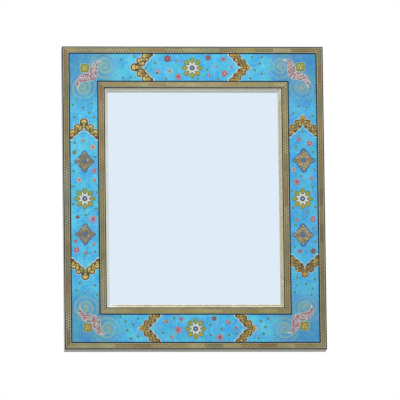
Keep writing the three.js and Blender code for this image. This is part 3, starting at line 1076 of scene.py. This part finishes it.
leaves = {
    "top": [
        (121, 59.5), (134.3, 56.5), (123, 78.2), (130.2, 77.7), (146, 68.5), (155.2, 62.9), (176.1, 60.8),
        (165.9, 78.7), (197.7, 78.7), (207.1, 70), (217.8, 78.9), (252.2, 57), (261.9, 57), (259.4, 63.6),
        (254.8, 70), (261.4, 73.8), (250.2, 78.2),
    ],
    "left": [
        (72.8, 105), (83, 108), (91.3, 104.3), (89.3, 112.9), (74.1, 117.7), (93.6, 117.7), (74.9, 143.2),
        (95.3, 157.7), (73.5, 171.7), (73.8, 186.9), (97.1, 192.9), (73.4, 204.6), (96.4, 209.2),
        (85.9, 215.7), (95.7, 252), (80.4, 283.6), (95.7, 285.6), (77.3, 290.7), (85, 292.8), (97.5, 294.8),
    ],
    "right": [
        (311.6, 100.6), (298.4, 106.2), (306.5, 107.5), (292.8, 113.4), (312.7, 115.9), (302.4, 131.6),
        (295.7, 147.3), (313, 152.5), (314.5, 170), (300.6, 176.5), (312.8, 187.3), (291.5, 191.1),
        (292.5, 208.3), (315.4, 207.4), (307.5, 212.6), (295.3, 225.5), (312.5, 228.4), (293.3, 240.5),
        (314.7, 241.9), (294.2, 247.7), (296.7, 278), (314.3, 279.4), (296, 285.2), (305.8, 284.3),
        (312.1, 288.6), (294.7, 292.5), (311, 294.6),
    ],
    "bottom": [
        (120.5, 316.7), (125.8, 321.3), (133.5, 324.4), (127.3, 330), (131.4, 338.1), (138.5, 318.7),
        (138.4, 336.3), (162.9, 332.8), (174.4, 318), (210.2, 325.1), (210.4, 335), (221.6, 328.7),
        (229.3, 334.8), (236.9, 333), (260.9, 321.3), (265, 326.9), (263.2, 333.5), (258.2, 338),
        (267.8, 318.5),
    ],
}
size_in_mm = 1.35
bud_spreads = (-0.75, 0, 0.75)
for side in sides:
    work = Painting()
    for x, y in leaves[side]:
        root = on_face(x, y)
        way = chance.uniform(0, tau)
        work.lay(tendril(root, root + towards(way + 2.6, 5.5), chance.uniform(-0.3, 0.3)), 0, "stem")
        blade = leaf(root - towards(way, 2.5), root + towards(way, 2.7), 4.6)
        work.lay(blade, 1, "leaf_green", (0.45, "pale_green"))
        work.lay(leaf(root, root + towards(way + 1.2, 2.8), 0.9), 2, "pale_green")
    for x, y, size, kind, *cap in flowers[side]:
        heart = on_face(x, y)
        fill, rim, eye, count = kinds[kind]
        size *= size_in_mm
        way = chance.uniform(0, tau)
        work.lay(tendril(heart, heart + towards(way, size + 4.0), 0.3), 0, "stem")
        if cap:
            for k, spread in enumerate(bud_spreads):
                end = heart + towards(way + pi + spread, size * 1.15)
                work.lay(leaf(heart, end, size * 0.7, 0, 1.3), 2 + petal_step * k, fill, (0.3, rim))
            cup_end = heart + towards(way + pi, size * 0.3)
            cup = leaf(heart + towards(way, size * 0.7), cup_end, size * 0.9, 0, 0.8)
            work.lay(cup, 3, cap[0], (0.25, "cream"))
            continue
        work.petals(heart, 0.2, size, count, size * 0.85, 2, fill, (0.3, rim), turn=way)
        for angle in around(count, way):
            streak_end = heart + towards(angle) * size * 0.72
            work.lay(leaf(heart, streak_end, size * 0.26, 0, 1.2, 6), 2.8, rim)
        work.lay(disc(heart, size * 0.27, 10), 3, eye, (0.2, rim))
    work.done(f"flowers_{side}")

# %% [markdown]
# The glass is silvered behind, so all that it shows is its surroundings, slightly blue. The slip round it is
# pale gold leaf over white gesso. On the left, and a little along the top, a pale grey-white is painted over
# the gold: a painted reflection on the left, and painted light on the top, which lies in shade.

# %% Mirror and gilding
silvered, shader, place = new_finish("silvered_glass", metallic=1.0)
haze = place.noise(12.0, 2.0)
wire(shader, base_color=haze.blend(colour("DDEAF6"), colour("E1ECF8")))
wire(shader, roughness=0.015 + 0.02 * haze)
dress("mirror_glass", silvered)

gilding, shader, place = new_finish("pale_gold_leaf", metallic=0.25)
leafing = place.noise(160.0, 4.0, 0.65)
specks = place.noise(900.0, 2.0).ramp(0.62, 0.75)
gold = leafing.ramp(0.3, 0.7).blend(colour("BBB290"), colour("D2CAAA"))
gold = specks.blend(gold, colour("B4A47C"))
height = place.part("Z")
# Painted reflection: pale grey-white on the left slip, strongest lower down
left_painted_reflection = (-1 * place.part("X")).ramp(0.100, 0.114) * (0.85 - 0.45 * height.ramp(0.05, 0.13))
# Painted light: a little of the same pale on the top slip, which faces down into shade
top_painted_light = 0.5 * height.ramp(0.130, 0.144)
wire(shader, base_color=left_painted_reflection.most(top_painted_light).blend(gold, colour("DCE2E0")))
wire(shader, roughness=0.3 + 0.25 * leafing, normal=bump(leafing, 0.2, 0.0001))
for side in sides:
    dress(f"gilt_slip_{side}", gilding)
print("glass silvered, slip gilded")

# %% [markdown]
# The back is plain joinery: pine rails and stiles, stained and oiled, with a plywood board let in. The grain
# of each piece runs along it, so the mitres show as a change of direction. One function makes the solid
# woods by stretching noise along the grain; pores are a second, finer noise. Plywood has face veneers, and
# plies of alternating grain that show on the board's edges.

# %% Woods of the back
def timber(name, light, dark, grain, roughness=0.55):
    """Wood with its grain along x or z."""
    material, shader, place = new_finish(name, specular_ior_level=0.35)
    along = place.stretch(0.05, 1, 1) if grain == "x" else place.stretch(1, 1, 0.05)
    rings = along.noise(110.0, 3.0, 0.55, Distortion=0.8)
    pores = along.noise(1100.0, 2.0)
    shade = (0.72 * rings + 0.28 * pores).ramp(0.36, 0.62)
    wire(shader, base_color=shade.blend(colour(dark), colour(light)))
    wire(shader, roughness=roughness - 0.12 + 0.24 * pores)
    wire(shader, normal=bump(0.5 * rings + 0.5 * pores, 0.3, 0.0002))
    return material


pine_across = timber("pine_across", "B58C5C", "8A6238", "x")
pine_upright = timber("pine_upright", "B58C5C", "8A6238", "z")
beech = timber("beech_spline", "D8B48A", "BE9468", "x")
for end in ("top", "bottom"):
    dress(f"core_rail_{end}", pine_across)
for end in ("left", "right"):
    dress(f"core_stile_{end}", pine_upright)
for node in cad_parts:
    if node.startswith("corner_spline"):
        dress(node, beech)

board_front = -0.001
board_back = 0.005
ply_thickness = 0.0012
face_veneer = 0.0006
glue_line = 0.0002
ply, shader, place = new_finish("plywood", specular_ior_level=0.3)
depth = place.part("Y")
along = place.stretch(1, 1, 0.04)
grain = along.noise(90.0, 4.0, 0.6, Distortion=1.2)
pores = along.noise(1300.0, 2.0)
veneer = (0.65 * grain + 0.35 * pores).ramp(0.36, 0.64).blend(colour("AD8A5C"), colour("CDAE80"))
layer = ((depth - board_front) * (1 / ply_thickness)).maths("PINGPONG", 1.0).ramp(0.4, 0.6)
core = layer.blend(colour("8C6A42"), colour("C4A276"))
from_face = (depth - board_front).least(board_back - depth)
inside = from_face.ramp(face_veneer, face_veneer + glue_line)
wire(shader, base_color=inside.blend(veneer, core))
wire(shader, roughness=0.5 + 0.2 * pores, normal=bump(grain, 0.2, 0.0002))
dress("backing_board", ply)

card, shader, place = new_finish("grey_card", roughness=0.9)
pulp = place.noise(900.0, 4.0, 0.7)
wire(shader, base_color=pulp.ramp(0.3, 0.7).blend(colour("8F8A80"), colour("A9A499")))
wire(shader, normal=bump(pulp, 0.2, 0.0001))
dress("guard_sheet", card)
print("woods, plywood and card finished")

# %% [markdown]
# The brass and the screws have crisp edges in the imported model. Real ones are broken by a file or a die, and
# that narrow rounded edge catches the light. So each is copied, its loose triangles merged, its flat faces
# joined again, and its sharp edges bevelled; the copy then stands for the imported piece.

# %% Metals
bevel_angle = radians(40)
smooth_angle = radians(32)


def metal(name, light, dark, roughness, tarnish):
    """Rolled or drawn metal with fine wear, and a duller tarnish in patches."""
    material, shader, place = new_finish(name, metallic=1.0)
    scratch = place.stretch(1, 1, 0.15).noise(2600.0, 2.0)
    patina = place.noise(140.0, 3.0, 0.6).ramp(0.52, 0.72)
    bright = scratch.ramp(0.3, 0.7).blend(colour(dark), colour(light))
    wire(shader, base_color=(0.6 * patina).blend(bright, colour(tarnish)))
    wire(shader, roughness=roughness + 0.18 * patina + 0.1 * scratch)
    wire(shader, normal=bump(scratch, 0.15, 0.00005))
    return material


brass = metal("rolled_brass", "D9B566", "C29C4E", 0.28, "8A6A34")
nickel = metal("nickelled_steel", "D2D0C8", "B4B2AA", 0.26, "8C8A84")


def soften(node, width, finish, body="root"):
    """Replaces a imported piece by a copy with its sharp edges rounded."""
    bm = bmesh.new()
    bm.from_mesh(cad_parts[node].data)
    bmesh.ops.remove_doubles(bm, verts=bm.verts, dist=1e-6)
    bmesh.ops.dissolve_limit(bm, angle_limit=radians(1), verts=bm.verts, edges=bm.edges)
    sharp = [edge for edge in bm.edges if edge.is_manifold and edge.calc_face_angle() > bevel_angle]
    bmesh.ops.bevel(
        bm, geom=sharp, offset=width * mm, offset_type="OFFSET", segments=2, profile=0.5,
        affect="EDGES", clamp_overlap=True, material=-1,
    )
    for face in bm.faces:
        face.smooth = True
        face.material_index = 0
    for edge in bm.edges:
        edge.smooth = edge.is_manifold and edge.calc_face_angle() < smooth_angle
    bmesh.ops.scale(bm, vec=(1 / mm, 1 / mm, 1 / mm), verts=bm.verts)
    add_piece(node + "_finished", bm, [finish], [node], body)


for corner_name in ("left_upper", "left_lower", "right_upper", "right_lower"):
    soften(f"turn_button_{corner_name}", 0.2, brass, f"button_{corner_name}")
    soften(f"turn_screw_{corner_name}", 0.1, nickel)
soften("hanger_plate", 0.12, brass)
soften("hanger_ring", 0.02, brass, "ring")
for hand in ("left", "right"):
    soften(f"hanger_screw_{hand}", 0.08, nickel)
print("twelve fittings softened")

# %% [markdown]
# The last cell measures the dressed model and prints the size of its box. Nothing here may stand out
# beyond the joinery.

low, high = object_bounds()
print("visual model:", [round((b - a) * 1000, 2) for a, b in zip(low, high)], "mm")
